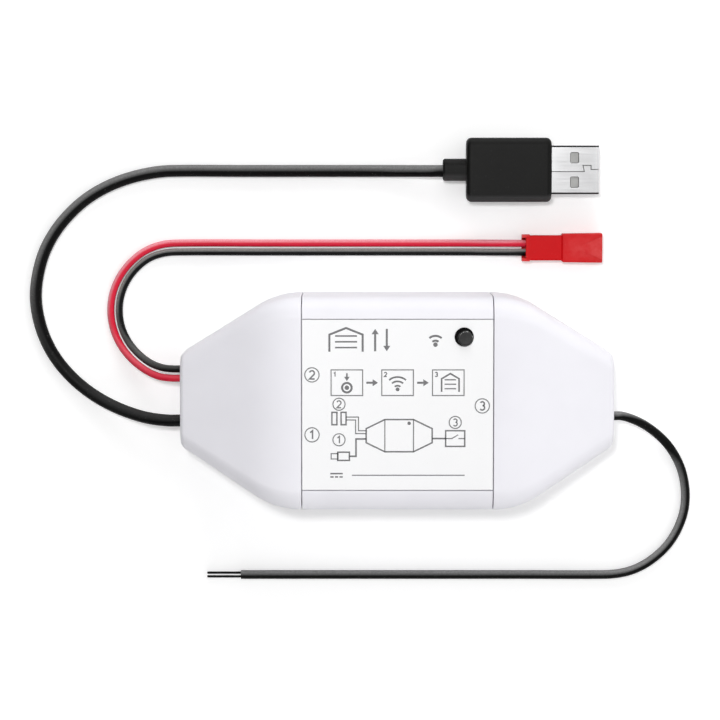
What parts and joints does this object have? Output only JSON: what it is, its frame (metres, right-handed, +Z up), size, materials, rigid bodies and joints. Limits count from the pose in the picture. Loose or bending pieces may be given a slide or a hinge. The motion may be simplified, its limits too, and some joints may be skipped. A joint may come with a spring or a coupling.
{
  "type": "garage door controller",
  "caption": "Wireless garage door controller: a white case with tapered ends, a push button, and power, sensor and signal leads.",
  "frame": {"origin": "middle of the case's back face, on the surface that it lies on", "axes": "+X along the case towards the signal lead, +Y across it towards the plugs, +Z up through the label"},
  "size_m": [0.1645, 0.1102, 0.027],
  "materials": {
    "case_white": "fine moulded matte",
    "label_white": "smooth satin film",
    "screw_steel": "bright zinc plated",
    "button_black": "satin moulded",
    "part_black": "matte moulded",
    "tin_steel": "tinned sheet",
    "light_clear": "clear moulded",
    "chip_ceramic": "fired ceramic",
    "board_green": "solder mask",
    "relay_blue": "moulded gloss",
    "coil_copper": "enamelled wire",
    "can_dark": "shrunk sleeve",
    "terminal_green": "moulded",
    "cord_black": "smooth extruded",
    "wire_red": "glossy extruded",
    "plug_black": "fine matte overmould",
    "plug_steel": "nickel plated sheet",
    "tongue_white": "moulded",
    "contact_gold": "gold flash",
    "plug_red": "moulded satin"
  },
  "bodies": {
    "case": {"centre_housing": "case_white", "left_end_cap": "case_white", "right_end_cap": "case_white", "label_plate": "label_white", "cap_screws": "screw_steel", "switch_base": "part_black", "relay_base": "part_black", "buzzer": "part_black", "voltage_regulator": "part_black", "driver_transistor": "part_black", "flyback_diode": "part_black", "switch_frame": "tin_steel", "radio_shield": "tin_steel", "relay_core": "tin_steel", "sensor_plug_pins": "tin_steel", "light_pipe": "light_clear", "status_led": "chip_ceramic", "chip_components": "chip_ceramic", "circuit_board": "board_green", "radio_board": "board_green", "relay_case": "relay_blue", "relay_coil": "coil_copper", "relay_contacts": "coil_copper", "capacitors": "can_dark", "power_terminal": "terminal_green", "sensor_terminal": "terminal_green", "signal_terminal": "terminal_green", "power_tail": "cord_black", "signal_tail": "cord_black", "power_cord": "cord_black", "signal_cord": "cord_black", "sensor_wire_black": "cord_black", "power_collar": "cord_black", "sensor_collar": "cord_black", "signal_collar": "cord_black", "signal_leads": "cord_black", "signal_cores": "cord_black", "sensor_wire_red": "wire_red", "sensor_leads": "wire_red", "power_leads": "wire_red", "power_plug_body": "plug_black", "power_plug_shell": "plug_steel", "power_plug_tongue": "tongue_white", "power_plug_contacts": "contact_gold", "sensor_plug_housing": "plug_red"},
    "button": {"button_cap": "button_black", "switch_plunger": "part_black"},
    "armature": {"relay_armature": "tin_steel"}
  },
  "joints": [
    {"name": "button_press", "type": "slide", "parent": "case", "child": "button", "axis": [0, 0, -1], "range_m": [0, 0.00025], "stiffness_N_per_m": 800},
    {"name": "armature_pull", "type": "hinge", "parent": "case", "child": "armature", "pos_m": [0.01065, -0.0158, 0.0184], "axis": [0, 1, 0], "range_deg": [0, 4], "stiffness_Nm_per_rad": 0.005}
  ]
}
